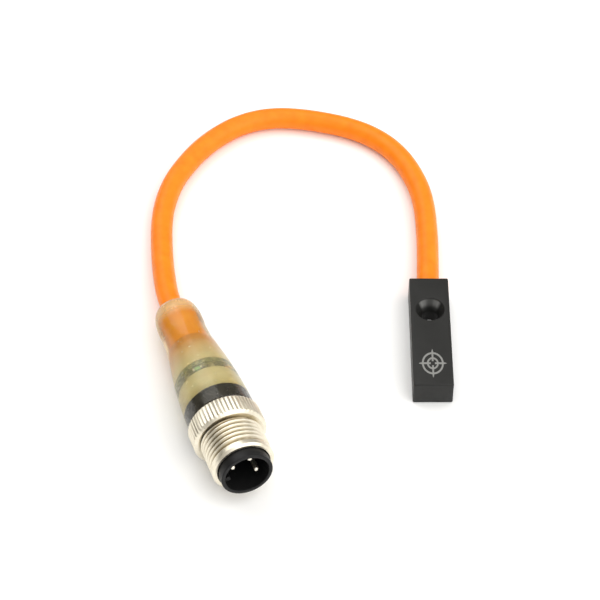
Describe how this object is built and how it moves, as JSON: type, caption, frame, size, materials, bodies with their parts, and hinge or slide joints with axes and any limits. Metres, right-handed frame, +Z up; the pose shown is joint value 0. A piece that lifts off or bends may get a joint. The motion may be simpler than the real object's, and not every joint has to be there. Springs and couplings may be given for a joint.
{
  "type": "photoelectric sensor",
  "caption": "Miniature block sensor head with one deep screw hole, on a short looped moulded lead that ends in a clear-bodied three-pin M12 plug with a free-turning threaded nut.",
  "frame": {"origin": "middle of the sensor head's underside, on the surface that the head rests on", "axes": "+Z up out of the head's marked face, +Y along the head towards its lead, so that the sensing end points to -Y and the plug lies on the -X side"},
  "size_m": [0.0594, 0.1009, 0.0145],
  "materials": {
    "head_black": "satin black moulded plastic",
    "seal_rubber": "matte black rubber",
    "lead_orange": "satin orange polyurethane jacket",
    "plug_clear": "clear amber overmoulding",
    "inner_resin": "milky amber moulding",
    "insert_black": "matte black moulded insert",
    "nut_nickel": "bright nickel plate on machined brass",
    "pin_gold": "gold-plated turned contact",
    "board_green": "green solder mask",
    "ferrite": "sintered dark grey",
    "bobbin_natural": "natural nylon",
    "copper": "enamelled copper wire",
    "chip_black": "matte black package",
    "chip_ceramic": "tan ceramic chip",
    "lamp_green": "clear green lens",
    "lamp_yellow": "clear yellow lens",
    "wire_brown": "satin brown insulation",
    "wire_blue": "satin blue insulation",
    "wire_black": "satin black insulation"
  },
  "bodies": {
    "root": {"sensor_housing": "head_black", "base_cover": "head_black", "cable_seal": "seal_rubber", "head_wire_blue": "wire_blue", "head_wire_brown": "wire_brown", "head_wire_black": "wire_black", "ferrite_core": "ferrite", "coil_bobbin": "bobbin_natural", "sense_coil": "copper", "circuit_board": "board_green", "oscillator_chip": "chip_black", "output_transistor": "chip_black", "filter_capacitor": "chip_ceramic", "trim_resistor": "chip_black", "timing_capacitor": "chip_ceramic", "cable_jacket": "lead_orange", "plug_body": "plug_clear", "jacket_end": "lead_orange", "retaining_ring": "insert_black", "contact_carrier": "insert_black", "inner_mould": "inner_resin", "contact_pin_1": "pin_gold", "contact_pin_3": "pin_gold", "contact_pin_4": "pin_gold", "lamp_board": "board_green", "power_lamp": "lamp_green", "output_lamp": "lamp_yellow", "power_lamp_resistor": "chip_black", "output_lamp_resistor": "chip_black", "plug_wire_brown": "wire_brown", "plug_wire_blue": "wire_blue", "plug_wire_black": "wire_black"},
    "nut": {"coupling_nut": "nut_nickel"}
  },
  "joints": [
    {"name": "nut_spin", "type": "hinge", "parent": "root", "child": "nut", "pos_m": [-0.03895, -0.02511, 0.00725], "axis": [0.3357, -0.9375, 0.0922], "continuous": true}
  ]
}
